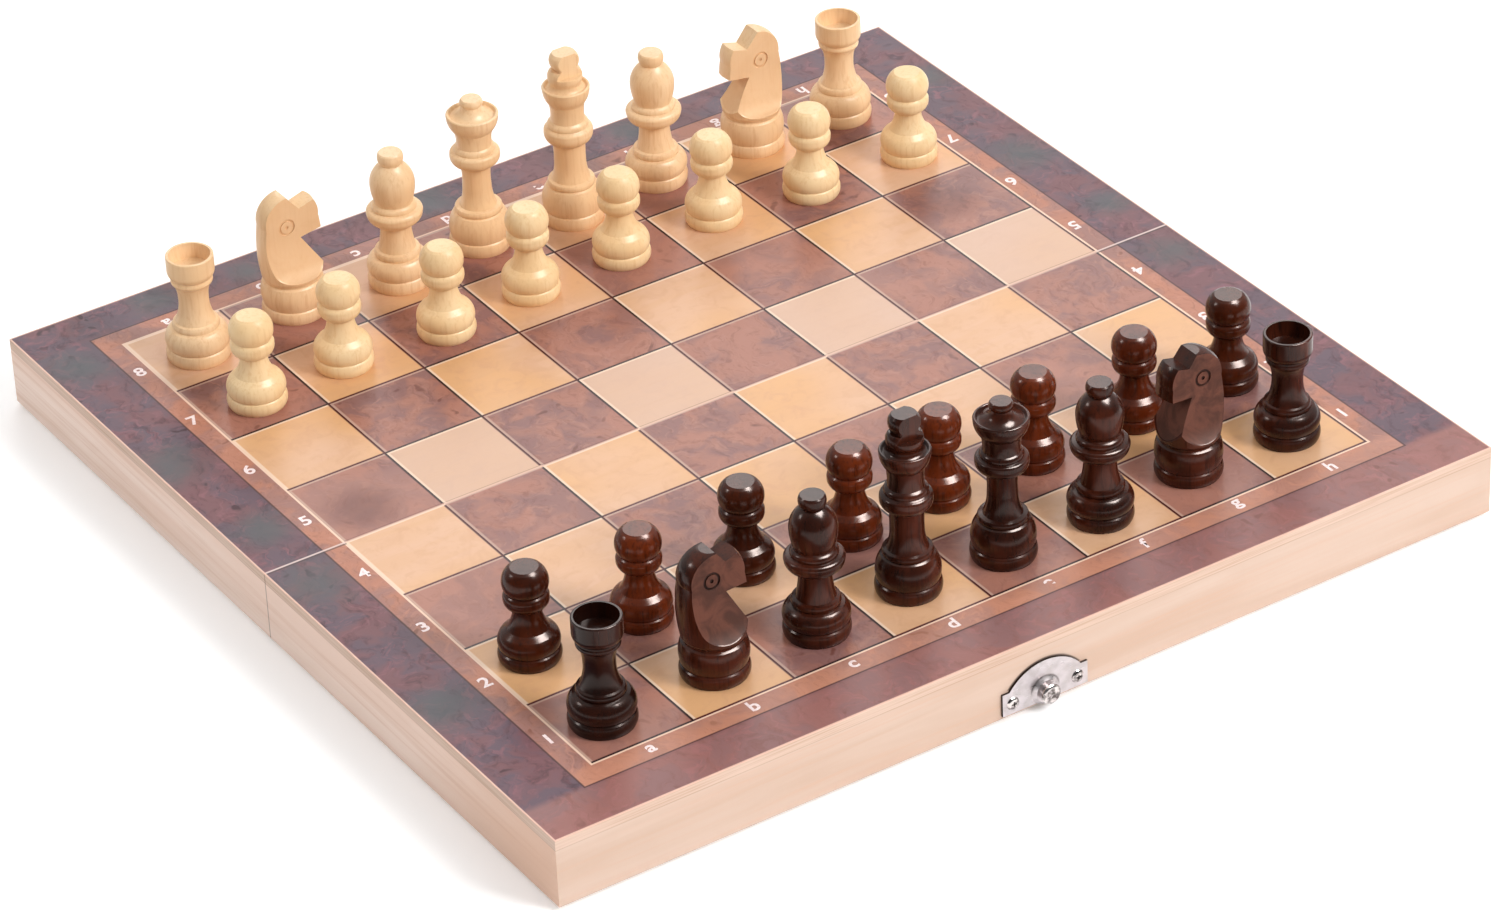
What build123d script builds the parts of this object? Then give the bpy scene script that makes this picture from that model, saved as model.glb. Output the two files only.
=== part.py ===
from build123d import *
import os

os.makedirs("parts", exist_ok=True)

# A folding chess board whose two halves are shallow trays, with its 32 turned men.
# Millimetres. +X runs along the fold from file a to file h, +Z is up and the latch is on the
# -Y side. The origin is on the table, under the middle of the fold.

# Board
board_width = 340.0
half_depth = 167.0
wall_height = 20.0
wall_thick = 9.0
panel_thick = 3.3
print_thick = 0.3
square_side = 35.4
squares_across = 8
print_line_gap = 0.05

# Board hinges, let into the rims of the two middle walls
hinge_spread = 170.0
hinge_length = 30.0
hinge_knuckles = 3
hinge_leaf_width = 8.4
hinge_leaf_thick = 0.8
hinge_knuckle_radius = 1.2
hinge_pin_radius = 0.6
hinge_screw_spread = 18.0
hinge_screw_row = 5.2
hinge_groove_clearance = 0.3

# Latch: a catch plate with a stud in front, a hasp plate with a tongue at the back
plate_width = 31.0
plate_ear_height = 7.8
plate_ear_width = 2.5
plate_height = 14.3
plate_thick = 0.8
plate_above_rim = 1.0
plate_screw_spread = 23.6
plate_screw_height = 3.6
stud_height = 4.7
stud_head_radius = 3.4
stud_neck_radius = 2.3
stud_head_thick = 1.3
stud_flat_radius = 2.2
stud_bevel = 0.4
boss_radius = 5.0
boss_top_radius = 3.7
boss_height = 1.0
hasp_axis_height = 1.8
hasp_axis_out = 3.0
hasp_knuckle_radius = 1.6
hasp_knuckle_span = 14.0
hasp_tongue_width = 7.0
hasp_pin_radius = 0.7
tongue_thick = 0.8
tongue_rim = 2.0
tongue_hole_clearance = 0.3

# Screws, all with a cross recess: flush ones with a cone under the head for the hinges and
# round-headed ones for the latch plates
hinge_screw_head_radius = 1.7
hinge_screw_shank_radius = 0.8
hinge_screw_length = 7.0
plate_screw_head_radius = 2.2
plate_screw_flat_radius = 0.9
plate_screw_head_height = 0.7
plate_screw_shank_radius = 1.1
plate_screw_length = 7.5
recess_width = 0.5
recess_depth = 0.5
recess_share_of_head = 0.62

# How far the middle of a rounded corner stands in, as a share of the corner's size
round_share = 0.29

# Fits
pin_running_clearance = 0.05
knuckle_gap = 0.3
seat_clearance = 0.05
pilot_clearance = 0.1
leaf_pocket_clearance = 0.2

# Levels, from the table up
rim_z = hinge_knuckle_radius
panel_z = rim_z + wall_height
print_z = panel_z + panel_thick
top_z = print_z + print_thick

front, back = -1, 1
side_name = {front: "front", back: "back"}


def save(shapes, node):
    """Writes one node: a single solid, or a group of separate ones."""
    solids = [solid for shape in shapes for solid in shape.solids()]
    export_step(solids[0] if len(solids) == 1 else Compound(solids), f"parts/{node}.step")


def outline_face(steps):
    """A face in the XZ plane from an outline of (x, z) points; a pair of points is an arc's
    middle and its end."""
    edges = []
    here = (steps[0][0], 0, steps[0][1])
    for step in steps[1:] + steps[:1]:
        if isinstance(step[0], tuple):
            middle, end = [(x, 0, z) for x, z in step]
            edges.append(ThreePointArc(here, middle, end))
        else:
            end = (step[0], 0, step[1])
            edges.append(Line(here, end))
        here = end
    return Face(Wire(edges))


def turned(steps):
    """A solid turned about the Z axis, from the outline of one half of its section."""
    return revolve(outline_face([(0, steps[0][1])] + steps + [(0, last_height(steps))]), Axis.Z)


def last_height(steps):
    """The height at which an outline ends."""
    last = steps[-1]
    return last[1][1] if isinstance(last[0], tuple) else last[1]


def rounding(start, end):
    """The arc that rounds an outline's outer corner off, from a start point up to an end."""
    middle_r = start[0] - round_share * (start[0] - end[0])
    middle_z = end[1] - round_share * (end[1] - start[1])
    return ((middle_r, middle_z), end)


def prism(points, low, high, along="Z"):
    """A prism over a polygon; along Y the points are (x, z), along X they are (y, z)."""
    place = {
        "Z": lambda a, b: (a, b, low),
        "Y": lambda a, b: (a, low, b),
        "X": lambda a, b: (low, a, b),
    }[along]
    way = {"Z": (0, 0, 1), "Y": (0, 1, 0), "X": (1, 0, 0)}[along]
    face = Face(Wire(Polyline(*[place(a, b) for a, b in points], close=True).edges()))
    return extrude(face, amount=high - low, dir=way)


def block(x_low, x_high, y_low, y_high, z_low, z_high):
    """A plain box between two corners."""
    size = (x_high - x_low, abs(y_high - y_low), z_high - z_low)
    corner = (x_low, min(y_low, y_high), z_low)
    return Pos(*corner) * Box(*size, align=Align.MIN)


def rod(radius, start, way, length):
    """A round bar from a start point along a direction."""
    return Plane(start, z_dir=way) * Cylinder(
        radius, length, align=(Align.CENTER, Align.CENTER, Align.MIN)
    )


def across(side):
    """The direction out of the latch face of one half."""
    return (0, side, 0)


# Board

def tray_corners(side, inset):
    """The plan corners of one half, or of the tray inside its walls."""
    x = board_width / 2 - inset
    near = side * inset
    far = side * (half_depth - inset)
    return [(-x, near), (x, near), (x, far), (-x, far)]


def tray_walls(side):
    """Four walls of one half with mitred corners: middle, right, outer and left."""
    outside = tray_corners(side, 0)
    inside = tray_corners(side, wall_thick)
    walls = {}
    for i, name in enumerate(("middle", "right", "outer", "left")):
        j = (i + 1) % len(outside)
        plan = [outside[i], outside[j], inside[j], inside[i]]
        walls[name] = prism(plan, rim_z, panel_z)
    return walls


def panel(side):
    """The board that closes one tray and carries the print."""
    return block(-board_width / 2, board_width / 2, 0, side * half_depth, panel_z, print_z)


def squares(side, dark):
    """The printed squares of one colour on one half; a1 is dark."""
    found = []
    first = -squares_across // 2
    rows = range(squares_across // 2) if side == back else range(first, 0)
    for row in rows:
        for column in range(first, -first):
            if (row + column) % 2 == (0 if dark else 1):
                x, y = column * square_side, row * square_side
                low, high = print_line_gap / 2, square_side - print_line_gap / 2
                found.append(block(x + low, x + high, y + low, y + high, print_z, top_z))
    return found


def border(side):
    """The printed band round the squares of one half."""
    x = squares_across * square_side / 2
    whole = block(-board_width / 2, board_width / 2, 0, side * half_depth, print_z, top_z)
    return whole - block(-x, x, -x, x, print_z, top_z)


# Screws

def cross_recess(head_radius, top):
    """The two slots of a cross recess, cut down from a head's top."""
    reach = head_radius * recess_share_of_head
    half = recess_width / 2
    low = top - recess_depth
    slot = block(-reach, reach, -half, half, low, top)
    return slot + block(-half, half, -reach, reach, low, top)


def flush_screw(head_radius, shank_radius, sink, length, clearance=0.0):
    """A countersunk screw, its head up and flush with z = 0; with a clearance, its hole."""
    head, shank = head_radius + clearance, shank_radius + clearance
    shape = turned([(shank, -length), (shank, -sink), (head, 0)])
    return shape if clearance else shape - cross_recess(head_radius, 0)


def raised_screw():
    """A round-headed screw whose head stands on z = 0."""
    head, tall = plate_screw_head_radius, plate_screw_head_height
    shank = plate_screw_shank_radius
    edge = (head, 0)
    shape = turned([
        (shank, -plate_screw_length), (shank, 0), edge,
        rounding(edge, (plate_screw_flat_radius, tall)),
    ])
    return shape - cross_recess(head, tall)


# Board hinges

def hinge_places():
    """The middle of each hinge along the fold."""
    return (-hinge_spread / 2, hinge_spread / 2)


def knuckle_spans(side):
    """The stretches along a hinge that hold one leaf's knuckles: the front leaf has the outer
    ones and the back leaf those between."""
    pitch = hinge_length / hinge_knuckles
    start = 0 if side == front else 1
    spans = []
    for i in range(start, hinge_knuckles, 2):
        low = -hinge_length / 2 + i * pitch + (knuckle_gap / 2 if i else 0)
        high = -hinge_length / 2 + (i + 1) * pitch
        high -= knuckle_gap / 2 if i < hinge_knuckles - 1 else 0
        spans.append((low, high))
    return spans


def hinge_screw_places(side):
    """Where the screws of one half's hinge leaves stand."""
    return [
        (x + dx, side * hinge_screw_row)
        for x in hinge_places()
        for dx in (-hinge_screw_spread / 2, hinge_screw_spread / 2)
    ]


def hinge_leaves(side):
    """Both hinge leaves of one half, flush with the rim, with their knuckles and holes."""
    leaves = []
    half = hinge_length / 2
    hole = hinge_pin_radius + (pin_running_clearance if side == back else 0)
    start = hinge_knuckle_radius + hinge_groove_clearance
    for x in hinge_places():
        leaf = block(
            x - half, x + half, side * start, side * hinge_leaf_width,
            rim_z, rim_z + hinge_leaf_thick,
        )
        for low, high in knuckle_spans(side):
            leaf += block(x + low, x + high, 0, side * start, rim_z, rim_z + hinge_leaf_thick)
            leaf += rod(hinge_knuckle_radius, (x + low, 0, rim_z), (1, 0, 0), high - low)
        leaf -= rod(hole, (x - half, 0, rim_z), (1, 0, 0), hinge_length)
        for sx, sy in hinge_screw_places(side):
            if abs(sx - x) < half:
                leaf -= Pos(sx, sy, rim_z) * Rot(180, 0, 0) * hinge_screw(seat_clearance)
        leaves.append(leaf)
    return leaves


def hinge_screw(clearance=0.0):
    """One hinge screw, or its hole when a clearance is given."""
    return flush_screw(
        hinge_screw_head_radius, hinge_screw_shank_radius, hinge_leaf_thick,
        hinge_screw_length, clearance,
    )


def hinge_screws(side):
    """The screws of one half's hinge leaves."""
    turn = Rot(180, 0, 0)
    return [Pos(x, y, rim_z) * turn * hinge_screw() for x, y in hinge_screw_places(side)]


def hinge_pins():
    """One pin through the knuckles of each hinge."""
    half = hinge_length / 2
    return [
        rod(hinge_pin_radius, (x - half, 0, rim_z), (1, 0, 0), hinge_length)
        for x in hinge_places()
    ]


def cut_for_hinges(wall, side):
    """Sinks the leaf pockets, the knuckle groove and the screw holes into a middle wall."""
    half = hinge_length / 2 + leaf_pocket_clearance
    deep = hinge_leaf_width + leaf_pocket_clearance
    groove = hinge_knuckle_radius + hinge_groove_clearance
    for x in hinge_places():
        wall -= block(x - half, x + half, 0, side * deep, rim_z, rim_z + hinge_leaf_thick)
        wall -= rod(groove, (x - half, 0, rim_z), (1, 0, 0), 2 * half)
    for x, y in hinge_screw_places(side):
        pilot = hinge_screw_shank_radius + pilot_clearance
        wall -= rod(pilot, (x, y, rim_z), (0, 0, 1), hinge_screw_length + pilot_clearance)
    return wall


# Latch

plate_z = rim_z + plate_above_rim
stud_z = rim_z + stud_height
hasp_z = rim_z + hasp_axis_height
tongue_hole_radius = stud_head_radius + tongue_hole_clearance
tongue_tip_radius = tongue_hole_radius + tongue_rim
stud_reach = hasp_axis_out + hasp_knuckle_radius


def face_y(side, out=0.0):
    """A distance out from the latch face of one half."""
    return side * (half_depth + out)


def arched_plate(side):
    """A plate with square ears and an arched middle, flat on the outer wall."""
    half = plate_width / 2
    ear = half - plate_ear_width
    face = outline_face([
        (-half, plate_z), (half, plate_z), (half, plate_z + plate_ear_height),
        (ear, plate_z + plate_ear_height),
        ((0, plate_z + plate_height), (-ear, plate_z + plate_ear_height)),
        (-half, plate_z + plate_ear_height),
    ])
    plate = Pos(0, face_y(side), 0) * extrude(face, amount=plate_thick, dir=across(side))
    for x in plate_screw_places():
        hole = plate_screw_shank_radius + seat_clearance
        start = (x, face_y(side), plate_z + plate_screw_height)
        plate -= rod(hole, start, across(side), plate_thick)
    return plate


def plate_screw_places():
    """Where the two screws of a plate stand along X."""
    return (-plate_screw_spread / 2, plate_screw_spread / 2)


def plate_screws(side):
    """The two screws of the plate on one half."""
    return [
        Plane((x, face_y(side, plate_thick), plate_z + plate_screw_height), z_dir=across(side))
        * raised_screw()
        for x in plate_screw_places()
    ]


def catch_plate():
    """The front plate with the raised boss that the stud is riveted in."""
    boss = turned([(boss_radius, 0), (boss_top_radius, boss_height)])
    start = (0, face_y(front, plate_thick), stud_z)
    plate = arched_plate(front) + Plane(start, z_dir=across(front)) * boss
    return plate - rod(
        stud_neck_radius, (0, face_y(front), stud_z), across(front), plate_thick + boss_height
    )


def catch_stud():
    """The stud: a rivet through the boss with a mushroom head."""
    neck = stud_reach - stud_head_thick
    edge = (stud_head_radius, neck + stud_bevel)
    shape = turned([
        (stud_neck_radius, 0), (stud_neck_radius, neck), (stud_head_radius - stud_bevel, neck),
        edge, rounding(edge, (stud_flat_radius, stud_reach)),
    ])
    return Plane((0, face_y(front), stud_z), z_dir=across(front)) * shape


def hasp_knuckle_spans():
    """The stretches along the hasp axis of the plate's two knuckles."""
    half = hasp_knuckle_span / 2
    inner = hasp_tongue_width / 2 + knuckle_gap
    return ((-half, -inner), (inner, half))


def hasp_plate():
    """The back plate with the two outer knuckles of the tongue's hinge."""
    plate = arched_plate(back)
    for low, high in hasp_knuckle_spans():
        plate += block(
            low, high, face_y(back), face_y(back, hasp_axis_out),
            plate_z, hasp_z + plate_thick,
        )
        start = (low, face_y(back, hasp_axis_out), hasp_z)
        plate += rod(hasp_knuckle_radius, start, (1, 0, 0), high - low)
    half = hasp_knuckle_span / 2
    start = (-half, face_y(back, hasp_axis_out), hasp_z)
    return plate - rod(hasp_pin_radius, start, (1, 0, 0), hasp_knuckle_span)


def hasp_pin():
    """The pin through the tongue's knuckle, held by the plate's knuckles."""
    start = (-hasp_knuckle_span / 2, face_y(back, hasp_axis_out), hasp_z)
    return rod(hasp_pin_radius, start, (1, 0, 0), hasp_knuckle_span)


def hasp_tongue():
    """The tongue, folded up in front of its plate, with the hole that drops over the stud."""
    half = hasp_tongue_width / 2
    hole_z = hasp_z + hasp_axis_height + stud_height
    low = face_y(back, hasp_axis_out - tongue_thick / 2)
    high = face_y(back, hasp_axis_out + tongue_thick / 2)
    start = (-half, face_y(back, hasp_axis_out), hasp_z)
    tongue = block(-half, half, low, high, hasp_z, hole_z)
    tongue += rod(tongue_tip_radius, (0, low, hole_z), across(back), tongue_thick)
    tongue += rod(hasp_knuckle_radius, start, (1, 0, 0), hasp_tongue_width)
    hole = hasp_pin_radius + pin_running_clearance
    tongue -= rod(hole, start, (1, 0, 0), hasp_tongue_width)
    return tongue - rod(tongue_hole_radius, (0, low, hole_z), across(back), tongue_thick)


def cut_for_plate(wall, side):
    """Drills the pilot holes of a latch plate into an outer wall."""
    pilot = plate_screw_shank_radius + pilot_clearance
    way = (0, -side, 0)
    for x in plate_screw_places():
        start = (x, face_y(side), plate_z + plate_screw_height)
        wall -= rod(pilot, start, way, plate_screw_length)
    return wall


# Men: the outline of each, from its foot up, and the cuts that finish it

pawn_outline = [
    (9.0, 0), ((9.7, 2.0), (9.3, 4.0)), (8.9, 4.4), ((9.5, 6.9), (8.2, 10.0)),
    (7.0, 11.0), (6.5, 11.4), ((4.9, 14.6), (4.4, 17.9)), (4.7, 18.4),
    ((6.5, 19.8), (7.0, 22.0)), ((6.9, 23.0), (6.4, 23.7)), (6.1, 24.0),
    ((7.1, 28.2), (5.2, 31.9)), (4.3, 32.4),
]
rook_outline = [
    (9.9, 0), ((10.5, 2.0), (10.1, 4.1)), (9.7, 4.5), ((10.4, 7.2), (8.6, 11.0)),
    (7.5, 11.4), ((7.6, 12.4), (7.2, 13.4)), (6.5, 13.7), ((5.2, 17.6), (4.9, 21.8)),
    ((5.2, 24.8), (5.9, 27.0)), (6.3, 27.4), ((6.8, 28.3), (6.5, 29.2)), (6.4, 29.6),
    ((7.4, 30.8), (7.7, 32.6)), (7.7, 37.0), ((7.6, 37.4), (7.2, 37.5)), (6.8, 37.5),
    ((6.5, 34.8), (6.1, 32.6)),
]
bishop_outline = [
    (9.8, 0), ((10.4, 2.0), (10.0, 4.2)), (9.6, 4.6), ((10.4, 7.2), (8.6, 10.6)),
    (7.4, 10.9), ((7.6, 12.0), (7.2, 13.0)), (6.2, 13.3), ((5.4, 17.2), (5.1, 22.4)),
    (5.5, 22.9), ((8.2, 24.0), (9.2, 26.4)), ((9.2, 27.4), (8.5, 28.1)), (7.3, 28.4),
    ((7.3, 29.4), (6.8, 30.1)), (6.3, 30.4), (6.3, 30.9), ((7.1, 34.0), (7.4, 37.0)),
    ((6.3, 41.5), (3.6, 44.4)), ((4.3, 46.6), (4.0, 48.2)), (3.6, 48.6),
]
royal_foot = [
    (9.8, 0), ((10.4, 2.1), (10.0, 4.3)), (9.6, 4.7), ((10.1, 7.6), (8.4, 13.2)),
    (7.7, 13.6), ((7.9, 14.6), (7.5, 15.5)),
]
queen_outline = royal_foot + [
    (6.2, 15.8), ((5.2, 18.8), (4.8, 22.8)), ((4.7, 26.8), (5.0, 30.4)),
    (5.6, 30.8), ((7.7, 32.2), (8.3, 34.8)), ((8.1, 35.6), (7.4, 36.0)), (6.8, 36.2),
    ((6.8, 37.0), (6.3, 37.8)), (5.9, 38.1), ((5.9, 40.8), (6.4, 43.4)),
    ((7.9, 45.6), (8.6, 48.8)), ((8.3, 49.6), (7.7, 49.5)), (7.2, 48.7),
    ((4.9, 49.8), (3.3, 52.4)), ((3.8, 53.7), (3.2, 55.0)),
]
king_outline = royal_foot + [
    (6.5, 15.8), ((5.6, 18.8), (5.3, 22.8)), ((5.3, 26.4), (5.5, 29.2)),
    (6.1, 29.6), ((7.6, 31.0), (8.1, 33.8)), ((7.9, 34.7), (7.2, 35.2)), (6.8, 35.5),
    ((6.8, 36.5), (6.2, 37.3)), (5.7, 37.7), ((5.6, 40.8), (6.0, 44.0)),
    ((7.4, 46.6), (7.9, 49.4)), ((7.6, 50.2), (7.0, 50.0)), (6.6, 49.4),
    ((5.4, 50.2), (5.3, 51.8)), ((5.8, 54.2), (4.9, 56.4)), (4.2, 56.8), (4.2, 57.4),
    ((5.0, 59.6), (4.5, 61.6)), (3.8, 62.5),
]
knight_outline = [
    (10.2, 0), ((10.8, 2.0), (10.4, 4.1)), (10.0, 4.5), ((10.7, 8.4), (9.9, 12.4)),
    (9.2, 12.9), (9.2, 13.5), ((9.7, 14.1), (10.0, 15.2)), ((10.8, 25.0), (10.1, 34.2)),
    ((8.2, 41.0), (3.2, 44.0)),
]

# King's finial: flats in front and behind, and a notch in each side
finial_low = 54.4
finial_radius = 5.0
finial_flat = 3.1
finial_notch_z = 57.1
finial_notch_depth = 1.7
finial_notch_height = 1.2

# Knight's head, sawn from the turned blank: what comes off each side as (y, z), the cut under
# the jaw and down the chest as (x, z), and the eye with half the head's thickness there. The
# light knights are sawn thinner, with a sharper flare at the foot of the flats.
side_cut = {
    "light": [
        (10.9, 15.4), ((7.2, 16.0), (5.2, 18.6)), ((3.9, 23.5), (3.4, 30.0)), (3.4, 45.0),
        (12.0, 45.0), (12.0, 15.4),
    ],
    "dark": [
        (10.9, 14.6), ((8.6, 16.6), (6.9, 19.8)), ((5.4, 26.0), (4.4, 33.0)), (3.9, 45.0),
        (12.0, 45.0), (12.0, 14.6),
    ],
}
jaw_cut = {
    "light": [(2.5, 28.1), (12.0, 29.7), (12.0, 15.4), (10.4, 15.4)],
    "dark": [(2.3, 30.2), (12.0, 30.8), (12.0, 14.2), (10.6, 14.2)],
}
ear_cut = {
    "light": [(2.8, 38.6), (-1.7, 44.2), (12.0, 44.2), (12.0, 41.4)],
    "dark": [(2.8, 40.2), (-0.3, 44.2), (12.0, 44.2), (12.0, 42.6)],
}
eye_place = {"light": (-2.2, 33.3), "dark": (-2.2, 35.3)}
half_cheek = {"light": 3.4, "dark": 4.3}
eye_ring_radius = 2.5
eye_ring_width = 0.8
eye_dot_radius = 0.6
eye_depth = 0.4


def king():
    """The king: a turned man with a squared finial notched into a plain cross."""
    shape = turned(king_outline)
    wide, tall = 2 * finial_radius, 2 * finial_notch_z
    for way in (-1, 1):
        shape -= block(-wide, wide, way * finial_flat, way * wide, finial_low, tall)
        notch = block(
            finial_radius - finial_notch_depth, wide, -wide, wide,
            finial_notch_z - finial_notch_height / 2, finial_notch_z + finial_notch_height / 2,
        )
        shape -= notch if way > 0 else mirror(notch, about=Plane.YZ)
    return shape


def knight(colour):
    """A knight, looking along +X: a turned blank sawn to a horse's head."""
    shape = turned(knight_outline)
    reach = 2 * knight_outline[0][0]
    section = outline_face(side_cut[colour])
    waste = Rot(0, 0, 90) * extrude(section, amount=reach, dir=(0, 1, 0), both=True)
    shape -= waste
    shape -= mirror(waste, about=Plane.XZ)
    shape -= prism(jaw_cut[colour], -reach, reach, along="Y")
    shape -= prism(ear_cut[colour], -reach, reach, along="Y")
    eye_x, eye_z = eye_place[colour]
    floor = half_cheek[colour] - eye_depth
    for way in (-1, 1):
        start = (eye_x, way * floor, eye_z)
        ring = rod(eye_ring_radius + eye_ring_width / 2, start, (0, way, 0), reach)
        ring -= rod(eye_ring_radius - eye_ring_width / 2, start, (0, way, 0), reach)
        shape -= ring
        shape -= rod(eye_dot_radius, start, (0, way, 0), reach)
    return shape


turned_men = {
    "pawn": turned(pawn_outline),
    "rook": turned(rook_outline),
    "bishop": turned(bishop_outline),
    "queen": turned(queen_outline),
    "king": king(),
}
knights = {colour: knight(colour) for colour in side_cut}

# How the men stand: their order along a rank, and how far each one stands from the middle of
# its square, to the right and towards the back
files = "abcdefgh"
light_order = ["rook", "knight", "bishop", "queen", "king", "bishop", "knight", "rook"]
dark_order = ["rook", "knight", "bishop", "king", "queen", "bishop", "knight", "rook"]
pawns = ["pawn"] * squares_across
right_knight_file = "g"
off_centre = {
    "a8": (-1, -2), "b8": (2, 3), "c8": (3, -2), "d8": (1, 2),
    "e8": (-1, -2), "f8": (-1, 2), "g8": (2, 2), "h8": (1, 0),
    "a7": (0, -3), "b7": (-2, 0), "c7": (-1, -3), "d7": (-2, 1),
    "e7": (-2, 2), "f7": (0, 4), "g7": (0, -1), "h7": (4, -1),
    "a2": (-4, 3), "b2": (-2, 0), "c2": (1, 3), "d2": (2, -1),
    "e2": (0, 0), "f2": (0, 0), "g2": (3, 0), "h2": (4, 0),
    "a1": (-4, -2), "b1": (0.6, -0.4), "c1": (1, -1), "d1": (0, 1),
    "e1": (-2, -1), "f1": (-2, -2), "g1": (-1, 2), "h1": (0, 0),
}


def place_men():
    """Stands every man on its square, each as a node of its own."""
    ranks = ((8, "light", light_order), (7, "light", pawns), (2, "dark", pawns),
             (1, "dark", dark_order))
    for rank, colour, order in ranks:
        for column, kind in enumerate(order):
            square = f"{files[column]}{rank}"
            right, away = off_centre[square]
            x = (column + 0.5 - squares_across / 2) * square_side + right
            y = (rank - 0.5 - squares_across / 2) * square_side + away
            turn = 180 if files[column] == right_knight_file else 0
            shape = knights[colour] if kind == "knight" else turned_men[kind]
            man = Pos(x, y, top_z) * Rot(0, 0, turn) * shape
            save([man], f"{colour}_{kind}_{square}")


for side in (front, back):
    name = side_name[side]
    walls = tray_walls(side)
    walls["middle"] = cut_for_hinges(walls["middle"], side)
    walls["outer"] = cut_for_plate(walls["outer"], side)
    for wall_name, wall in walls.items():
        save([wall], f"{name}_{wall_name}_wall")
    save([panel(side)], f"{name}_panel")
    save(squares(side, dark=False), f"{name}_light_squares")
    save(squares(side, dark=True), f"{name}_dark_squares")
    save([border(side)], f"{name}_border")
    save(hinge_leaves(side), f"hinge_leaves_{name}")
    save(hinge_screws(side), f"hinge_screws_{name}")

save(hinge_pins(), "hinge_pins")
save([catch_plate()], "catch_plate")
save([catch_stud()], "catch_stud")
save(plate_screws(front), "catch_screws")
save([hasp_plate()], "hasp_plate")
save([hasp_pin()], "hasp_pin")
save(plate_screws(back), "hasp_screws")
save([hasp_tongue()], "hasp_tongue")
place_men()
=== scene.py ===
import math

import bmesh
import bpy
from mathutils import Matrix, Vector


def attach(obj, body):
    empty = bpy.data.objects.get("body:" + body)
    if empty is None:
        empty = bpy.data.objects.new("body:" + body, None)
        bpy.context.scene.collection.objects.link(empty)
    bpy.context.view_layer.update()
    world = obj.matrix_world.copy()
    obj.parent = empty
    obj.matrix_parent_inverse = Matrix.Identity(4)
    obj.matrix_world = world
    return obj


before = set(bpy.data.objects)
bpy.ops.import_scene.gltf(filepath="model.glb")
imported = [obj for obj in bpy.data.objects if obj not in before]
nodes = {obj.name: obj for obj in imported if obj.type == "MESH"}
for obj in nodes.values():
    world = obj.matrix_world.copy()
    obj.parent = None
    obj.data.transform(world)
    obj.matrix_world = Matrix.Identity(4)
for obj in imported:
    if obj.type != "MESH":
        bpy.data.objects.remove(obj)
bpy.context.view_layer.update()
scene = bpy.context.scene

# Sizes of the board, in millimetres, as in the part's source
half_width = 170.0
half_depth = 167.0
square = 35.4
grid_half = 4 * square
panel_z = 21.2
top_z = 24.8
band_line_x = 149.5
band_line_y = 150.2
label_row = (grid_half + band_line_x) / 2
label_height = 4.9
label_weight = 0.18
label_lift = 0.04
capital_share = 0.7  # of the font's size

# Print: the sheen that the back of the studio lays over it, its gloss, the dusky spots of the dark
# squares as x, y and z, and the places where the outer band's burl is darkest as x, y and reach
sheen = 0.06
print_gloss = 0.18
dusky_spots = ((-128.0, 13.0, top_z), (120.0, 55.0, top_z))
dark_clouds = (
    (-161, 138, 16), (-164, 70, 17), (-158, 22, 14), (-160, -14, 19), (-163, -92, 17),
    (-122, 160, 13), (-18, 161, 15), (62, 160, 12), (160, 66, 15), (163, 22, 11),
    (161, -14, 15), (163, 128, 13), (-88, 157, 9), (118, 161, 10),
)

# Knights: where they stand as x and y, and how far ahead of their axis the eyes are. Above foot_z
# the faces to the front and back are sawn, and so are those inside the blank, below its dome.
light_knights = ((-86.5, 126.9, -2.2), (90.5, 125.9, 2.2))
dark_knights = ((-87.9, -124.3, -2.2), (87.5, -121.9, 2.2))
light_eye_z = top_z + 33.3
dark_eye_z = top_z + 35.3
eye_ring_radius = 2.5
eye_dot_radius = 0.65
foot_z = top_z + 14.0
dome_z = top_z + 33.0
blank_radius = 10.1

# Men of a darker wood than their fellows: x of their columns, and half a column's width
dark_pawn_columns = (-3.5 * square, -1.5 * square, 3.5 * square)
dark_man_columns = (-3.5 * square,)
half_column = 15.0

# Latch: the arch of its plates as a circle over the middle, the stud and the boss round it; they
# also place the painted shadows along the arch and round the boss
arch_radius = 16.25
arch_z = 0.25
arch_low_z = 10.2
stud_z = 5.9
boss_radius = 5.0


def tint(red, green, blue):
    """A linear colour from the 0 to 255 values of a screen colour."""
    linear = []
    for value in (red, green, blue):
        share = value / 255
        linear.append(share / 12.92 if share < 0.04045 else ((share + 0.055) / 1.055) ** 2.4)
    return (*linear, 1.0)


def print_tint(red, green, blue):
    """A screen colour of the print, less the sheen."""
    return (*[max(value - sheen, 0.01) for value in tint(red, green, blue)[:3]], 1.0)


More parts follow.
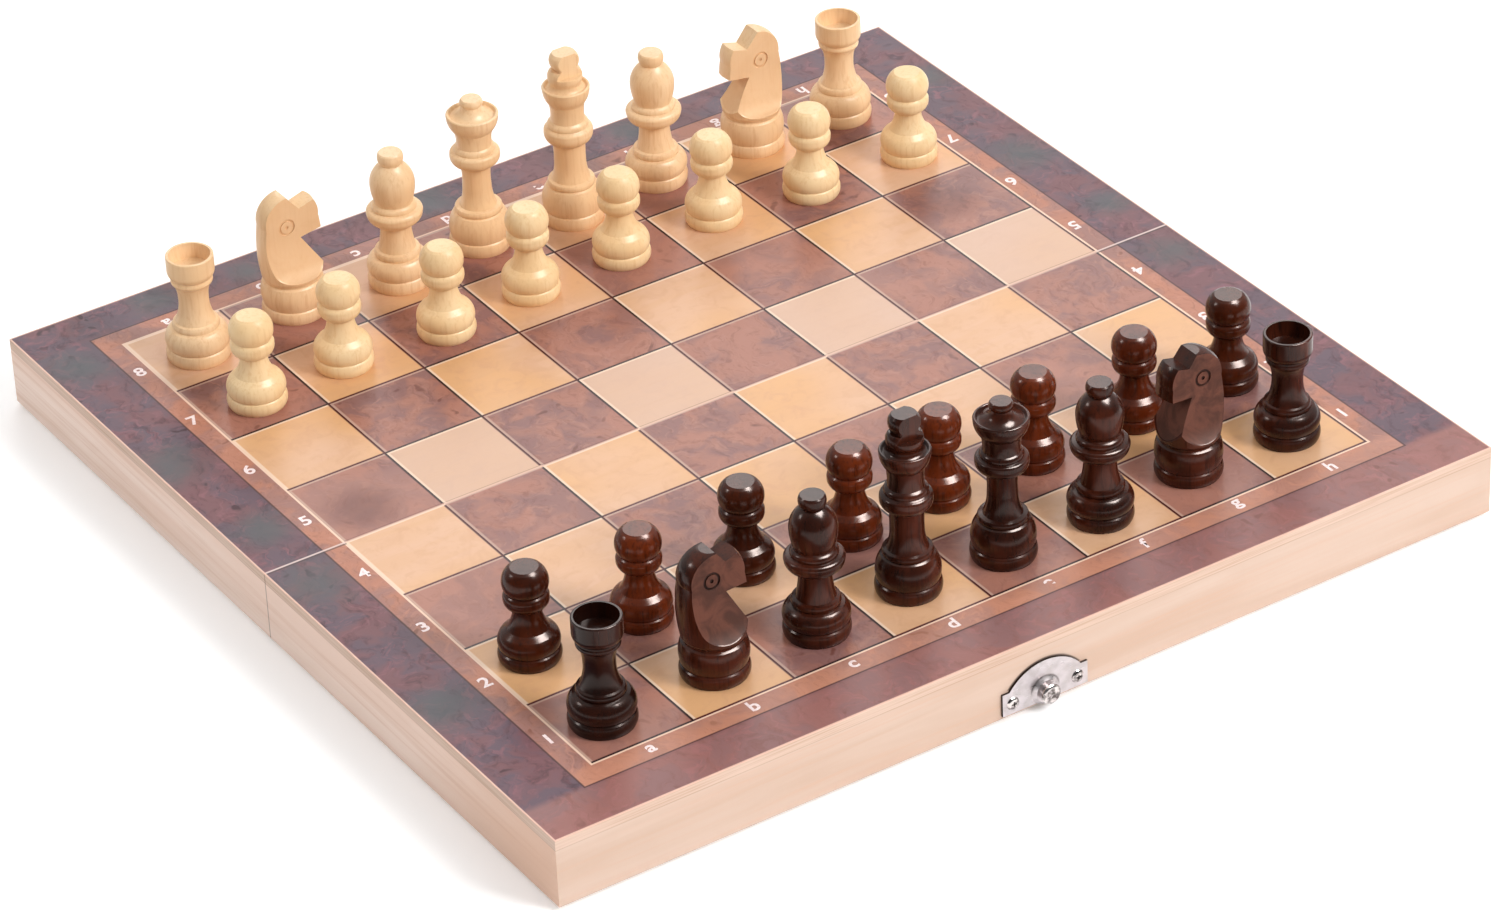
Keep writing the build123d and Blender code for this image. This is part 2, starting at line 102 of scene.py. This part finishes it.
class Recipe:
    """One material, built node by node around a Principled shader."""

    def __init__(self, name):
        self.material = bpy.data.materials.new(name)
        self.material.use_nodes = True
        self.tree = self.material.node_tree
        self.tree.nodes.clear()
        self.shader = self.tree.nodes.new("ShaderNodeBsdfPrincipled")
        output = self.tree.nodes.new("ShaderNodeOutputMaterial")
        self.tree.links.new(self.shader.outputs[0], output.inputs[0])
        place = self.tree.nodes.new("ShaderNodeTexCoord").outputs["Object"]
        self.mm = self.vector("SCALE", place, scale=1000.0)
        split = self.tree.nodes.new("ShaderNodeSeparateXYZ")
        self.tree.links.new(self.mm, split.inputs[0])
        self.x, self.y, self.z = split.outputs

    def put(self, socket, value):
        """Links a socket to a node's output, or sets it to a constant."""
        if isinstance(value, bpy.types.NodeSocket):
            self.tree.links.new(value, socket)
        else:
            socket.default_value = value

    def vector(self, operation, a, b=None, scale=None):
        """A Vector Math node."""
        node = self.tree.nodes.new("ShaderNodeVectorMath")
        node.operation = operation
        self.put(node.inputs[0], a)
        if b is not None:
            self.put(node.inputs[1], b)
        if scale is not None:
            self.put(node.inputs["Scale"], scale)
        return node.outputs["Value" if operation in ("DISTANCE", "DOT_PRODUCT") else "Vector"]

    def math(self, operation, a, b=0.0):
        """A Math node."""
        node = self.tree.nodes.new("ShaderNodeMath")
        node.operation = operation
        self.put(node.inputs[0], a)
        self.put(node.inputs[1], b)
        return node.outputs[0]

    def ease(self, value, low, high, start=0.0, end=1.0):
        """Turns low to high smoothly into start to end."""
        node = self.tree.nodes.new("ShaderNodeMapRange")
        node.interpolation_type = "SMOOTHSTEP"
        for socket, given in zip(node.inputs, (value, low, high, start, end)):
            self.put(socket, given)
        return node.outputs[0]

    def times(self, a, b):
        """The product of two shares."""
        return self.math("MULTIPLY", a, b)

    def mix(self, share, a, b):
        """The colour a, with a share of the colour b."""
        node = self.tree.nodes.new("ShaderNodeMix")
        node.data_type = "RGBA"
        self.put(node.inputs[0], share)
        self.put(node.inputs[6], a)
        self.put(node.inputs[7], b)
        return node.outputs[2]

    def noise(self, place, size, detail=2.0, rough=0.5, warp=0.0):
        """Noise from 0 to 1 whose features are about size millimetres across."""
        node = self.tree.nodes.new("ShaderNodeTexNoise")
        self.put(node.inputs["Vector"], place)
        self.put(node.inputs["Scale"], 1.0 / size)
        self.put(node.inputs["Detail"], detail)
        self.put(node.inputs["Roughness"], rough)
        self.put(node.inputs["Distortion"], warp)
        return node.outputs[0]

    def cells(self, place, size):
        """The distance to the nearest of scattered points, as a share of their spacing of about
        size millimetres."""
        node = self.tree.nodes.new("ShaderNodeTexVoronoi")
        self.put(node.inputs["Vector"], place)
        self.put(node.inputs["Scale"], 1.0 / size)
        return node.outputs["Distance"]

    def stretched(self, along_x, along_y, along_z, shift=(0.0, 0.0, 0.0)):
        """The place in millimetres, drawn out along each axis by the given amounts."""
        moved = self.vector("ADD", self.mm, shift)
        return self.vector("MULTIPLY", moved, (1 / along_x, 1 / along_y, 1 / along_z))

    def line(self, value, middle, half, soft=0.15):
        """1 within half of the middle, and 0 outside."""
        away = self.math("ABSOLUTE", self.math("SUBTRACT", value, middle))
        return self.ease(away, half + soft, half - soft)

    def both(self, a, b):
        """The larger of two shares."""
        return self.math("MAXIMUM", a, b)

    def seen_from_front(self):
        """The place in millimetres with y left out."""
        return self.vector("MULTIPLY", self.mm, (1.0, 0.0, 1.0))

    def facing_front(self):
        """1 on faces that look to the front or the back, and 0 on those that look elsewhere."""
        normal = self.tree.nodes.new("ShaderNodeTexCoord").outputs["Normal"]
        return self.math("ABSOLUTE", self.vector("DOT_PRODUCT", normal, (0.0, 1.0, 0.0)))

    def nearest(self, place, spots):
        """The distance to the nearer of two spots."""
        first, second = (self.vector("DISTANCE", place, spot) for spot in spots)
        return self.math("MINIMUM", first, second)

    def bump(self, height, depth):
        """A bump of so many millimetres."""
        node = self.tree.nodes.new("ShaderNodeBump")
        node.inputs["Strength"].default_value = 1.0
        self.put(node.inputs["Distance"], depth / 1000)
        self.put(node.inputs["Height"], height)
        return node.outputs[0]

    def finish(self, colour, **sockets):
        """Sets the shader's colour and the sockets named by keyword."""
        self.put(self.shader.inputs["Base Color"], colour)
        for name, value in sockets.items():
            self.put(self.shader.inputs[name.replace("_", " ")], value)
        return self.material


# Wood of the frame, panels and men

def joint_lines(r, colour):
    """Darkens the seam under the panels and the line where the halves meet."""
    seam = r.line(r.z, panel_z, 0.1, 0.2)
    colour = r.mix(r.times(seam, 0.45), colour, tint(150, 112, 90))
    return r.mix(r.times(r.line(r.y, 0.0, 0.25), 0.7), colour, tint(120, 90, 74))


def frame_wood(name, along, pale, mid):
    """Whitewood with faint grain along one axis, with a painted shadow round the latch plates'
    arches. The side walls, whose grain runs along Y, are deeper in tone towards the front."""
    r = Recipe(name)
    long_x, long_y = (60, 1) if along == "X" else (1, 60)
    streaks = r.noise(r.stretched(long_x, long_y, 1.0), 2.2, detail=5, rough=0.65, warp=0.4)
    broad = r.noise(r.stretched(long_x / 6, long_y / 6 + 1, 1.0), 9.0, detail=3, warp=0.6)
    fine = r.noise(r.stretched(long_x, long_y, 0.35), 0.5, detail=3, rough=0.6)
    colour = r.mix(r.ease(broad, 0.3, 0.7), pale, mid)
    if along == "Y":
        colour = r.mix(r.ease(r.y, -70.0, -160.0, 0, 0.6), colour, tint(208, 160, 128))
    colour = r.mix(r.ease(streaks, 0.48, 0.75, 0, 0.55), colour, tint(206, 166, 142))
    colour = r.mix(r.ease(fine, 0.55, 0.8, 0, 0.25), colour, tint(196, 156, 132))
    colour = joint_lines(r, colour)
    # Painted shadow: a dark line on the outer faces just outside each latch plate's arch, above its
    # low ends
    from_arch = r.vector("DISTANCE", r.seen_from_front(), (0.0, 0.0, arch_z))
    above = r.ease(r.z, arch_low_z, arch_low_z + 0.4)
    outside = r.ease(r.math("ABSOLUTE", r.y), half_depth - 2.0, half_depth - 1.0)
    shade = r.times(r.times(r.line(from_arch, arch_radius, 0.5, 0.3), above), outside)
    colour = r.mix(r.times(shade, 0.85), colour, tint(70, 56, 50))
    return r.finish(
        colour, Roughness=r.ease(streaks, 0.2, 0.8, 0.46, 0.62), Normal=r.bump(fine, 0.05)
    )


def panel_wood():
    """The thin board under the print, of which the edge shows."""
    r = Recipe("panel_wood")
    layers = r.noise(r.stretched(40, 40, 0.5), 1.0, detail=4, rough=0.6)
    broad = r.noise(r.stretched(5, 5, 1.0), 8.0, detail=3)
    colour = r.mix(r.ease(layers, 0.35, 0.7), tint(210, 181, 162), tint(192, 158, 136))
    colour = r.mix(r.ease(broad, 0.4, 0.7, 0, 0.4), colour, tint(214, 187, 171))
    colour = joint_lines(r, colour)
    return r.finish(
        colour, Roughness=r.ease(layers, 0.2, 0.8, 0.5, 0.65), Normal=r.bump(layers, 0.04)
    )


def turned_wood(name, tones, lacquer, darker=(), knights=(), eye_z=0.0, satin=None):
    """Lacquered wood with upright grain; the men in the darker columns are of a deeper tone.
    A knight's sawn faces are satin, in their own tone, with the eyes' rings and dots darker."""
    pale, mid, deep = tones
    gloss, level, shine, bump = lacquer
    r = Recipe(name)
    grain = r.noise(r.stretched(1, 1, 22), 1.1, detail=5, rough=0.6, warp=0.5)
    fine = r.noise(r.stretched(1, 1, 14), 0.35, detail=3, rough=0.6)
    broad = r.noise(r.stretched(1, 1, 2), 14.0, detail=2)
    colour = r.mix(r.ease(broad, 0.35, 0.65), pale, mid)
    if darker:
        share = 0.0
        for x in darker:
            share = r.both(share, r.line(r.x, x, half_column, 1.0))
        colour = r.mix(r.times(share, 0.6), colour, deep)
    colour = r.mix(r.ease(grain, 0.45, 0.72, 0, 0.6), colour, deep)
    colour = r.mix(r.ease(fine, 0.58, 0.8, 0, 0.4), colour, deep)
    if knights:
        plan = r.vector("MULTIPLY", r.mm, (1.0, 1.0, 0.0))
        from_axis = r.nearest(plan, [(x, y, 0.0) for x, y, _ in knights])
        inside = r.ease(from_axis, blank_radius - 0.1, blank_radius - 0.5)
        inside = r.times(inside, r.ease(r.z, dome_z + 1.0, dome_z))
        sawn = r.both(r.ease(r.facing_front(), 0.7, 0.9), inside)
        sawn = r.times(sawn, r.ease(r.z, foot_z, foot_z + 1.0))
        patches = r.noise(r.mm, 9.0, detail=4, rough=0.6, warp=1.0)
        satin = r.mix(r.ease(patches, 0.38, 0.62, 0, 0.55), satin, deep)
        colour = r.mix(r.times(sawn, 0.75), colour, satin)
        eyes = [(x + ahead, 0.0, eye_z) for x, _, ahead in knights]
        from_eye = r.nearest(r.seen_from_front(), eyes)
        ring = r.line(from_eye, eye_ring_radius, 0.35, 0.2)
        dot = r.ease(from_eye, eye_dot_radius + 0.15, eye_dot_radius - 0.15)
        colour = r.mix(r.times(r.both(ring, dot), 0.8), colour, deep)
        gloss = r.ease(sawn, 0.0, 1.0, gloss, 0.65)
    return r.finish(
        colour, Roughness=r.math("ADD", r.ease(grain, 0.3, 0.7, -0.02, 0.04), gloss),
        Normal=r.bump(grain, bump), Specular_IOR_Level=level, Specular_Tint=shine,
    )


# The print

def burl(r, seed, cloud, warm, rosy, knot, fine_size=2.2, contrast=0.4):
    """Swirling burl veneer: clouds of two tones, rosy flecks, fine figure and dark knots. Gives
    its colour and its fine figure."""
    start = r.vector("ADD", r.mm, seed)
    sway = r.tree.nodes.new("ShaderNodeTexNoise")
    r.put(sway.inputs["Vector"], start)
    r.put(sway.inputs["Scale"], 1 / 16)
    r.put(sway.inputs["Detail"], 3.0)
    pushed = r.vector("ADD", start, r.vector("SCALE", sway.outputs[1], scale=26.0))
    clouds = r.noise(pushed, 15.0, detail=3)
    flecks = r.noise(pushed, 7.0, detail=4, rough=0.6, warp=1.2)
    figure = r.noise(r.vector("MULTIPLY", pushed, (1.0, 0.3, 1.0)), fine_size, detail=5, rough=0.65)
    colour = r.mix(r.ease(clouds, 0.38, 0.62), cloud, warm)
    colour = r.mix(r.ease(flecks, 0.5, 0.72, 0, 1.5 * contrast), colour, rosy)
    colour = r.mix(r.ease(figure, 0.48, 0.72, 0, contrast), colour, knot)
    knots = r.ease(r.cells(pushed, 8.0), 0.24, 0.1)
    where = r.ease(r.noise(start, 24.0, detail=1), 0.5, 0.6)
    colour = r.mix(r.times(r.times(knots, where), 0.75), colour, knot)
    return colour, figure


def grid_lines(r):
    """The shares of the dark and of the light hairlines along the edges of the squares."""
    u = r.math("FRACT", r.math("DIVIDE", r.x, square))
    v = r.math("FRACT", r.math("DIVIDE", r.y, square))
    hair, soft = 0.8 / square, 0.25 / square
    right = r.ease(u, 1 - hair - soft, 1 - hair + soft)
    low = r.ease(v, hair + soft, hair - soft)
    left = r.ease(u, hair + soft, hair - soft)
    high = r.ease(v, 1 - hair - soft, 1 - hair + soft)
    return r.both(right, low), r.both(left, high)


def dark_veneer(r, seed):
    """Burl with a few dusky spots. Gives its colour and its fine figure."""
    colour, figure = burl(
        r, seed, print_tint(150, 116, 112), print_tint(176, 128, 114),
        print_tint(184, 138, 124), print_tint(124, 90, 84),
    )
    tones = r.noise(r.vector("ADD", r.mm, seed), 60.0, detail=1)
    colour = r.mix(r.ease(tones, 0.4, 0.6, 0, 0.5), colour, print_tint(182, 136, 122))
    dusky = r.ease(r.nearest(r.mm, dusky_spots), 17.0, 4.0, 0, 0.5)
    return r.mix(dusky, colour, print_tint(110, 78, 76)), figure


def light_veneer(r, seed):
    """Pale wood with faint grain, pinker on the rank behind the fold. Gives its colour and its
    grain."""
    start = r.vector("ADD", r.mm, seed)
    figure = r.noise(r.stretched(26, 1, 1, seed), 1.4, detail=5, rough=0.6, warp=0.3)
    tones = r.noise(start, 60.0, detail=1)
    bands = r.noise(r.stretched(4, 1, 1, seed), 8.0, detail=3, warp=0.8)
    mottle = r.noise(start, 6.0, detail=4, rough=0.6, warp=1.0)
    pink_row = r.line(r.y, square / 2, square / 2)
    colour = r.mix(r.ease(tones, 0.4, 0.6), print_tint(227, 179, 135), print_tint(225, 184, 154))
    colour = r.mix(r.ease(bands, 0.35, 0.7, 0, 0.4), colour, print_tint(220, 174, 136))
    colour = r.mix(r.ease(mottle, 0.45, 0.7, 0, 0.3), colour, print_tint(208, 160, 130))
    colour = r.mix(r.times(pink_row, 0.6), colour, print_tint(212, 184, 170))
    return r.mix(r.ease(figure, 0.5, 0.8, 0, 0.1), colour, print_tint(204, 160, 128)), figure


def square_print(name, veneer, seed, dark_line, light_line):
    """The printed veneer of the squares of one colour, with hairlines along their edges."""
    r = Recipe(name)
    colour, figure = veneer(r, seed)
    dark_share, light_share = grid_lines(r)
    dark_share = r.times(dark_share, r.math("SUBTRACT", 1.0, r.line(r.y, 0.0, 0.7)))
    colour = r.mix(r.times(light_share, 0.7), colour, light_line)
    colour = r.mix(dark_share, colour, dark_line)
    colour = r.mix(r.times(r.line(r.y, 0.0, 0.35), 0.7), colour, print_tint(226, 190, 172))
    return r.finish(
        colour, Roughness=r.ease(figure, 0.2, 0.8, 0.28, 0.36), Normal=r.bump(figure, 0.01),
        Specular_IOR_Level=print_gloss,
    )


def border_print():
    """The print round the squares: a wide dark band, a narrow light one and hairlines. Both bands
    are lighter along the front, a painted sheen, and the outer rim carries a painted highlight."""
    r = Recipe("border_print")
    across_x = r.math("ABSOLUTE", r.x)
    across_y = r.math("ABSOLUTE", r.y)
    wide, figure = burl(
        r, (410.0, 90.0, 0.0), print_tint(116, 100, 108), print_tint(132, 100, 103),
        print_tint(150, 108, 114), print_tint(88, 72, 78), fine_size=3.4, contrast=0.5,
    )
    narrow, _ = burl(
        r, (70.0, 640.0, 0.0), print_tint(166, 128, 120), print_tint(190, 136, 116),
        print_tint(200, 146, 128), print_tint(136, 98, 88), fine_size=1.6,
    )
    ragged = r.noise(r.mm, 9.0, detail=4, rough=0.6)
    cloud = 0.0
    for x, y, reach in dark_clouds:
        away = r.vector("DISTANCE", r.mm, (x, y, top_z))
        away = r.math("ADD", away, r.times(ragged, reach))
        cloud = r.both(cloud, r.ease(away, 1.6 * reach, 0.5 * reach))
    wide = r.mix(r.times(cloud, 0.8), wide, print_tint(104, 106, 108))
    # Painted sheen: both bands are lightened along the front, where the studio's glare on the print
    # falls weaker
    painted_front_sheen = r.ease(r.y, -148.0, -152.0, 0, 0.27)
    wide = r.mix(painted_front_sheen, wide, print_tint(216, 154, 135))
    narrow = r.mix(r.ease(r.y, -140.0, -144.0, 0, 0.35), narrow, print_tint(214, 158, 134))
    past_x = r.math("SUBTRACT", across_x, band_line_x)
    past_y = r.math("SUBTRACT", across_y, band_line_y)
    past = r.both(past_x, past_y)
    colour = r.mix(r.ease(past, -0.1, 0.1), narrow, wide)
    colour = r.mix(r.times(r.line(past, 0.0, 0.3), 0.85), colour, print_tint(98, 80, 80))
    from_grid = r.math("SUBTRACT", r.both(across_x, across_y), grid_half)
    colour = r.mix(r.line(from_grid, 0.3, 0.4), colour, print_tint(240, 208, 186))
    colour = r.mix(r.times(r.line(r.y, -0.8, 0.35), 0.7), colour, print_tint(100, 90, 88))
    colour = r.mix(r.times(r.line(r.y, 0.0, 0.35), 0.9), colour, print_tint(224, 202, 196))
    # Painted highlight: a thin light line along the print's outer rim
    edge_x = r.math("SUBTRACT", across_x, half_width)
    edge_y = r.math("SUBTRACT", across_y, half_depth)
    colour = r.mix(r.ease(r.both(edge_x, edge_y), -0.6, -0.3), colour, tint(224, 184, 166))
    return r.finish(
        colour, Roughness=r.ease(figure, 0.2, 0.8, 0.34, 0.44), Normal=r.bump(figure, 0.01),
        Specular_IOR_Level=print_gloss,
    )


def label_print():
    """Pale printed ink, a little worn."""
    r = Recipe("label_print")
    wear = r.noise(r.mm, 0.8, detail=3)
    colour = r.mix(r.ease(wear, 0.4, 0.8), tint(240, 222, 220), tint(220, 186, 182))
    return r.finish(colour, Roughness=r.ease(wear, 0.2, 0.8, 0.3, 0.42))


# Metal

def metal(name, bright, dull, rough, painted_shade=None, smudge_and_glint_size=4.0):
    """Plated steel, lightly brushed, with smears of the given size; small, strong ones are painted
    glints and dark reflections. The painted shade colour darkens a plate's cut edges and the upper
    foot of the stud's boss."""
    r = Recipe(name)
    brushed = r.noise(r.stretched(14, 1, 1), 0.4, detail=4)
    # Smears; the small, strong ones on the stud and screws are painted glints and dark reflections
    smudge_and_glint_mottle = r.noise(r.mm, smudge_and_glint_size, detail=3)
    colour = r.mix(r.ease(smudge_and_glint_mottle, 0.35, 0.7), bright, dull)
    if painted_shade:
        # Painted shade: the cut edges, facing neither front nor back, are darkened as a dark
        # reflection
        colour = r.mix(r.ease(r.facing_front(), 0.5, 0.2), colour, painted_shade)
        # Painted shadow: a dark ring round the upper foot of the stud's boss
        from_stud = r.vector("DISTANCE", r.seen_from_front(), (0.0, 0.0, stud_z))
        upper = r.ease(r.z, stud_z - 1, stud_z + 2)
        foot = r.times(r.line(from_stud, boss_radius, 0.3, 0.3), upper)
        colour = r.mix(r.times(foot, 0.6), colour, painted_shade)
    return r.finish(
        colour, Metallic=1.0, Roughness=r.ease(brushed, 0.2, 0.8, rough, rough + 0.16),
        Normal=r.bump(brushed, 0.01),
    )


# Coordinates: plain numbers and letters in the narrow band

def glyph(text, x, y, turn):
    """A flat mesh of one character, centred at a place on the print."""
    curve = bpy.data.curves.new("glyph", "FONT")
    curve.body = text
    curve.size = label_height / 1000 / capital_share
    curve.align_x = "CENTER"
    curve.align_y = "CENTER"
    curve.offset = label_weight / 1000
    maker = bpy.data.objects.new("glyph", curve)
    scene.collection.objects.link(maker)
    bpy.context.view_layer.update()
    flat = bpy.data.meshes.new_from_object(maker)
    bpy.data.objects.remove(maker)
    low = Vector((min(v.co.x for v in flat.vertices), min(v.co.y for v in flat.vertices), 0))
    high = Vector((max(v.co.x for v in flat.vertices), max(v.co.y for v in flat.vertices), 0))
    middle = (low + high) / 2
    place = Matrix.Translation((x / 1000, y / 1000, (top_z + label_lift) / 1000))
    flat.transform(place @ Matrix.Rotation(turn, 4, "Z") @ Matrix.Translation(-middle))
    return flat


def coordinates(side):
    """All characters of one half, as one piece."""
    shape = bmesh.new()
    turn = 0.0 if side < 0 else math.pi
    for i, letter in enumerate("abcdefgh"):
        shape.from_mesh(glyph(letter, (i - 3.5) * square, side * label_row, turn))
    first = 1 if side < 0 else 5
    for rank in range(first, first + 4):
        y = (rank - 4.5) * square
        shape.from_mesh(glyph(str(rank), -label_row, y, 0.0))
        shape.from_mesh(glyph(str(rank), label_row, y, math.pi))
    name = "front_coordinates" if side < 0 else "back_coordinates"
    mesh = bpy.data.meshes.new(name)
    shape.to_mesh(mesh)
    shape.free()
    piece = bpy.data.objects.new(name, mesh)
    scene.collection.objects.link(piece)
    return piece


# Materials on the solids

# The walls along X take a darker copy of the whitewood than those along Y: painted shade that
# tempers the stronger light on the front wall
whitewood_x = frame_wood("whitewood_along_x", "X", tint(206, 180, 163), tint(198, 168, 148))
whitewood_y = frame_wood("whitewood_along_y", "Y", tint(238, 214, 200), tint(230, 200, 183))
board_wood = panel_wood()
light_print = square_print(
    "light_square_print", light_veneer, (15.0, 240.0, 0.0),
    dark_line=print_tint(104, 74, 62), light_line=print_tint(246, 222, 200),
)
dark_print = square_print(
    "dark_square_print", dark_veneer, (330.0, 20.0, 0.0),
    dark_line=print_tint(86, 60, 52), light_line=print_tint(206, 176, 160),
)
band_print = border_print()
nickel = metal("nickel", tint(206, 198, 198), tint(180, 172, 172), rough=0.16)
# The plates take painted shade on their cut edges and a painted shadow round the stud's boss
plate_nickel = metal(
    "plate_nickel", tint(206, 198, 200), tint(190, 182, 182), rough=0.25, painted_shade=tint(60, 50, 46)
)
# On the stud and screws, the fine strong mottle from near white to dark grey is painted reflection:
# glints and dark crescents
stud_nickel = metal("stud_nickel", tint(226, 218, 216), tint(92, 84, 82), rough=0.12, smudge_and_glint_size=1.4)
hinge_steel = metal("hinge_steel", tint(214, 204, 184), tint(186, 172, 148), rough=0.28)

# The men's woods: pale, middle and deep tone. Their lacquers: roughness, level and tint of the
# reflections, and depth of the grain in millimetres.
light_pawn_tones = (tint(242, 212, 166), tint(238, 202, 152), tint(226, 186, 136))
light_tones = (tint(240, 206, 164), tint(234, 196, 151), tint(222, 178, 134))
dark_pawn_tones = (tint(102, 40, 14), tint(74, 27, 10), tint(26, 10, 5))
dark_tones = (tint(72, 30, 16), tint(40, 15, 8), tint(11, 4, 3))
light_lacquer = (0.3, 0.15, (1.0, 0.95, 0.88, 1.0), 0.01)
dark_lacquer = (0.2, 0.3, (1.0, 0.86, 0.8, 1.0), 0.003)
men_woods = {
    "light": {
        "pawn": turned_wood("light_pawn_wood", light_pawn_tones, light_lacquer),
        "knight": turned_wood(
            "light_knight_wood", light_tones, light_lacquer,
            knights=light_knights, eye_z=light_eye_z, satin=tint(226, 186, 144),
        ),
        "man": turned_wood("light_man_wood", light_tones, light_lacquer),
    },
    "dark": {
        "pawn": turned_wood(
            "dark_pawn_wood", dark_pawn_tones, dark_lacquer, darker=dark_pawn_columns
        ),
        "knight": turned_wood(
            "dark_knight_wood", dark_tones, dark_lacquer,
            knights=dark_knights, eye_z=dark_eye_z, satin=tint(104, 60, 46),
        ),
        "man": turned_wood("dark_man_wood", dark_tones, dark_lacquer, darker=dark_man_columns),
    },
}
by_ending = {
    "left_wall": whitewood_y, "right_wall": whitewood_y, "_wall": whitewood_x,
    "_panel": board_wood, "light_squares": light_print, "dark_squares": dark_print,
    "_border": band_print, "_plate": plate_nickel, "catch_stud": stud_nickel,
    "catch_screws": stud_nickel, "hasp_screws": stud_nickel,
}


def material_of(name):
    """The material of a node, chosen by its name."""
    colour, _, kind = name.partition("_")
    if colour in men_woods:
        woods = men_woods[colour]
        return woods.get(kind.partition("_")[0], woods["man"])
    for ending, material in by_ending.items():
        if name.endswith(ending):
            return material
    return hinge_steel if name.startswith("hinge_") else nickel


for name in nodes:
    mesh = nodes[name].data
    mesh.materials.clear()
    mesh.materials.append(material_of(name))

ink = label_print()
for side, body in ((-1, "front_half"), (1, "back_half")):
    labels = coordinates(side)
    labels.data.materials.append(ink)
    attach(labels, body)

# Floor, camera and light, in metres, degrees and watts

floor_reach = 6.0
floor_glow = 0.15

# The camera looks past the middle of the board's top by the aim's two lengths
azimuth = math.radians(-31.9359)
elevation = math.radians(33.157)
roll = math.radians(-2.656)
distance = 1.8855
aim_right, aim_down = -0.00524, -0.01986
lens_mm = 143.5
sensor_mm = 36.0
to_camera = Vector((
    math.sin(azimuth) * math.cos(elevation),
    -math.cos(azimuth) * math.cos(elevation),
    math.sin(elevation),
))

# The studio is brighter towards its back, and brightest where level tops mirror it to the camera.
# Each ramp turns the cosine of the angle to that direction, from one value to another, into
# brightness, from one value to another.
room_ramp = (-0.2, 0.75, 0.15, 1.0)
patch_ramp = (0.94, 1.0, 0.0, 4.5)


def white_floor():
    """A wide white floor that glows a little, as the photo's ground is pure white."""
    around = ((-1, -1), (1, -1), (1, 1), (-1, 1))
    mesh = bpy.data.meshes.new("floor")
    mesh.from_pydata([(x * floor_reach, y * floor_reach, 0) for x, y in around], [], [(0, 1, 2, 3)])
    mesh.materials.append(Recipe("floor_white").finish(
        tint(250, 250, 250), Roughness=0.8, Emission_Color=tint(255, 255, 255),
        Emission_Strength=floor_glow,
    ))
    piece = bpy.data.objects.new("floor", mesh)
    scene.collection.objects.link(piece)
    return piece


def photo_camera():
    """The camera at the photo's place, turned about its own axis by the roll."""
    right = (-to_camera).cross(Vector((0, 0, 1))).normalized()
    down = -right.cross(-to_camera)
    turned_right = right * math.cos(roll) - down * math.sin(roll)
    turned_down = right * math.sin(roll) + down * math.cos(roll)
    spot = Vector((0, 0, top_z / 1000)) - turned_right * aim_right - turned_down * aim_down
    turning = Matrix((turned_right, -turned_down, to_camera)).transposed().to_4x4()
    data = bpy.data.cameras.new("camera")
    data.sensor_width = sensor_mm
    data.lens = lens_mm
    camera = bpy.data.objects.new("camera", data)
    scene.collection.objects.link(camera)
    camera.matrix_world = Matrix.Translation(spot + to_camera * distance) @ turning
    return camera


def soft_light(name, turn, height, away, size, power, lit=True, glints=True):
    """A square soft light; it stands some degrees to the right of the camera's direction and some
    degrees above the table. It lights the surfaces, or shows as glints in them, or both."""
    data = bpy.data.lights.new(name, "AREA")
    data.shape = "SQUARE"
    data.size = size
    data.energy = power
    lamp = bpy.data.objects.new(name, data)
    lamp.visible_diffuse = lit
    lamp.visible_glossy = glints
    scene.collection.objects.link(lamp)
    side, up = azimuth + math.radians(turn), math.radians(height)
    way = Vector((math.sin(side) * math.cos(up), -math.cos(side) * math.cos(up), math.sin(up)))
    lamp.location = way * away
    lamp.rotation_mode = "QUATERNION"
    lamp.rotation_quaternion = way.to_track_quat("Z", "Y")


def studio():
    """The white walls round the table, with the brightness of the two ramps added together."""
    world = bpy.data.worlds.new("studio")
    world.use_nodes = True
    tree = world.node_tree
    tree.nodes.clear()
    direction = tree.nodes.new("ShaderNodeTexCoord").outputs["Generated"]
    towards = tree.nodes.new("ShaderNodeVectorMath")
    towards.operation = "DOT_PRODUCT"
    towards.inputs[1].default_value = (-to_camera.x, -to_camera.y, to_camera.z)
    tree.links.new(direction, towards.inputs[0])
    brightness = tree.nodes.new("ShaderNodeMath")
    for ramp, addend in zip((room_ramp, patch_ramp), brightness.inputs):
        glow = tree.nodes.new("ShaderNodeMapRange")
        glow.interpolation_type = "SMOOTHSTEP"
        for socket, value in zip(glow.inputs[1:], ramp):
            socket.default_value = value
        tree.links.new(towards.outputs["Value"], glow.inputs[0])
        tree.links.new(glow.outputs[0], addend)
    walls = tree.nodes.new("ShaderNodeBackground")
    tree.links.new(brightness.outputs[0], walls.inputs["Strength"])
    output = tree.nodes.new("ShaderNodeOutputWorld")
    tree.links.new(walls.outputs[0], output.inputs[0])
    return world


floor = white_floor()
scene.camera = photo_camera()
soft_light("key_light", turn=62, height=37, away=2.4, size=0.8, power=42.0, glints=False)
soft_light("key_glints", turn=80, height=60, away=2.4, size=1.2, power=200.0, lit=False)
soft_light("front_light", turn=8, height=38, away=2.6, size=2.0, power=14.0, glints=False)
soft_light("fill_light", turn=-90, height=35, away=2.6, size=0.4, power=9.0)
scene.world = studio()
scene.view_settings.view_transform = "Standard"
